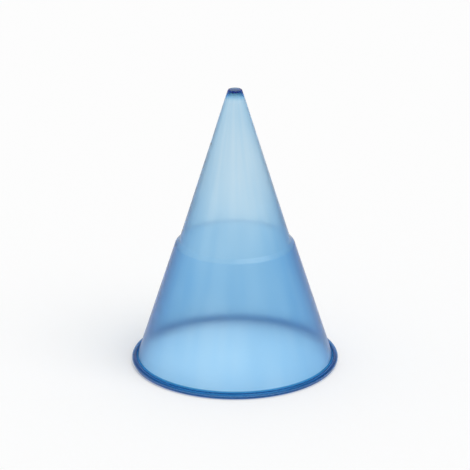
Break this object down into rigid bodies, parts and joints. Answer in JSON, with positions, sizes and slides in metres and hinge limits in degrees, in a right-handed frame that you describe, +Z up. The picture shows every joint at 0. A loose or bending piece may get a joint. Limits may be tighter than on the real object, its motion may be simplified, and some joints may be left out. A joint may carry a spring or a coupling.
{
  "type": "plastic cone cup",
  "caption": "Cone-shaped drinking cup of thin translucent blue plastic with a rolled rim, a stacking step and a thick flat closed end, standing on its rim.",
  "frame": {"origin": "on the surface that the cup stands on, at the middle of its rim", "axes": "+Z up, along the cup's own axis from its mouth to its closed end"},
  "size_m": [0.072, 0.072, 0.0984],
  "materials": {
    "blue_plastic": "smooth translucent blue"
  },
  "bodies": {
    "root": {"cup": "blue_plastic"}
  },
  "joints": []
}
